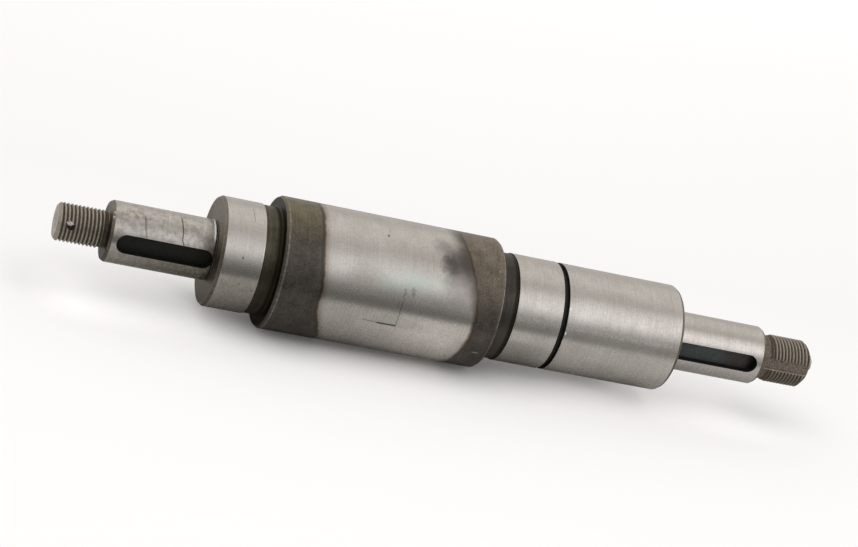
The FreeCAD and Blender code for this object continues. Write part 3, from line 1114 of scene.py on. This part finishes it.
# A grey card under the shaft, and a dark one in front of it up to just over the horizon
card_edge = -0.104
card_middle = -0.050
card_lift = 0.001
dark_wall = -1.6
dark_top = 0.16
grey_back = 1.5
card_green = 0.965
card_blue = 0.92
card_height = floor_height + card_lift
card(
    "far_grey_card",
    [(card_edge, card_height), (card_middle, card_height)],
    [(-0.020, 0.48), (-0.008, 0.72), (0.030, 0.72), (0.05, 0.57)],
)
card(
    "near_grey_card",
    [(card_middle, card_height), (grey_back, card_height)],
    [
        (-0.027, 0.50), (-0.018, 1.0), (-0.007, 1.0), (0.004, 0.80),
        (0.014, 0.62), (0.034, 0.30), (0.050, 0.38), (0.062, 0.57),
    ],
)
card(
    "dark_card",
    [(card_edge, card_height), (dark_wall, card_height), (dark_wall, dark_top)],
    [(0.04, 0.13), (0.15, 0.30), (0.46, 0.20), (0.70, 0.92)],
)


def make_world():
    """Pale studio dome with a brighter strip in front, and a plain level on the floor."""
    world = bpy.data.worlds.new("studio")
    world.use_nodes = True
    graph = Graph(world.node_tree)
    x, y, z = graph.parts(graph.node("TexCoord").outputs["Generated"])
    lift = graph.math("DEGREES", graph.math("ARCTAN2", z, graph.times(y, -1.0)))
    share = graph.between(lift, 0.0, 180.0, 0.0, 1.0, smooth=False)
    dome = graph.ramp(share, [
        (angle / 180, rgb(level, level * green, level * blue))
        for angle, level, green, blue in dome_levels
    ])
    across = graph.between(x, 0.0, 1.0, smooth=False)
    strength = graph.ramp(across, [
        (place, rgb(*[level / strip_scale] * 3)) for place, level in strip_levels
    ])
    in_front = graph.between(lift, 60.0, 80.0, 1.0, 0.0)
    strip = graph.blend(in_front, 1.0, graph.times(strength, strip_scale))
    seen = graph.node("Background", {"Color": dome, "Strength": strip})
    plain = graph.node("Background", {"Color": rgb(1, 1, 1), "Strength": world_level})
    chosen = graph.node("MixShader", {0: graph.looked_at(), 1: plain.outputs[0], 2: seen.outputs[0]})
    graph.node("OutputWorld", {"Surface": chosen.outputs[0]})
    bpy.context.scene.world = world


# Dome from the horizon in front, over the top, to the horizon behind: degrees, level, tint
dome_levels = [
    (3, 0.20, 0.97, 0.96), (17, 0.60, 0.97, 0.96), (33, 1.02, 0.97, 0.96), (48, 0.95, 0.97, 0.96),
    (78, 0.60, 0.955, 0.90), (108, 0.82, 0.96, 0.905), (130, 0.79, 0.955, 0.90),
    (155, 0.62, 0.955, 0.90), (180, 0.60, 0.955, 0.90),
]
world_level = 0.68
# Strength of the strip in front by how far the mirrored direction points along the shaft
strip_scale = 2.0
strip_levels = [
    (0.16, 0.66), (0.22, 0.80), (0.26, 0.72), (0.30, 0.86), (0.33, 1.0), (0.38, 1.35), (0.46, 1.6),
]
make_world()


key_place = Vector((0, -0.28, 1.05))
key_size = (2.2, 1.5)
key_power = 9.2


def make_key_light():
    """Soft box over the shaft, which the metal doesn't mirror."""
    lamp = bpy.data.lights.new("key_softbox", "AREA")
    lamp.shape = "RECTANGLE"
    lamp.size, lamp.size_y = key_size
    lamp.energy = key_power
    key = put("key_softbox", lamp)
    key.location = key_place
    key.rotation_euler = (-key_place).to_track_quat("-Z", "Y").to_euler()
    key.visible_glossy = key.visible_camera = False


make_key_light()

# Camera as the photo was taken: turned about Z, looking down, and rolled
camera_turn = 18.30
camera_down = 18.65
camera_roll = 17.09
camera_distance = 1.32603
camera_aim = Vector((-0.01070, 0.00637, 0.00815))
camera_lens = 104.895


def make_camera():
    """Camera from its three angles, its distance and the point it looks at."""
    turn = math.radians(camera_turn)
    down = math.radians(camera_down)
    roll = math.radians(camera_roll)
    level = math.cos(down)
    forward = Vector((math.sin(turn) * level, math.cos(turn) * level, -math.sin(down)))
    level_right = Vector((math.cos(turn), -math.sin(turn), 0))
    level_up = level_right.cross(forward)
    right = level_right * math.cos(roll) + level_up * math.sin(roll)
    up = right.cross(forward)
    data = bpy.data.cameras.new("camera")
    data.lens = camera_lens
    data.sensor_width = 36
    camera = put("camera", data)
    axes = Matrix((right, up, -forward)).transposed().to_4x4()
    axes.translation = camera_aim - forward * camera_distance
    camera.matrix_world = axes
    bpy.context.scene.camera = camera


make_camera()
bpy.context.scene.view_settings.view_transform = "Standard"

bpy.context.view_layer.update()
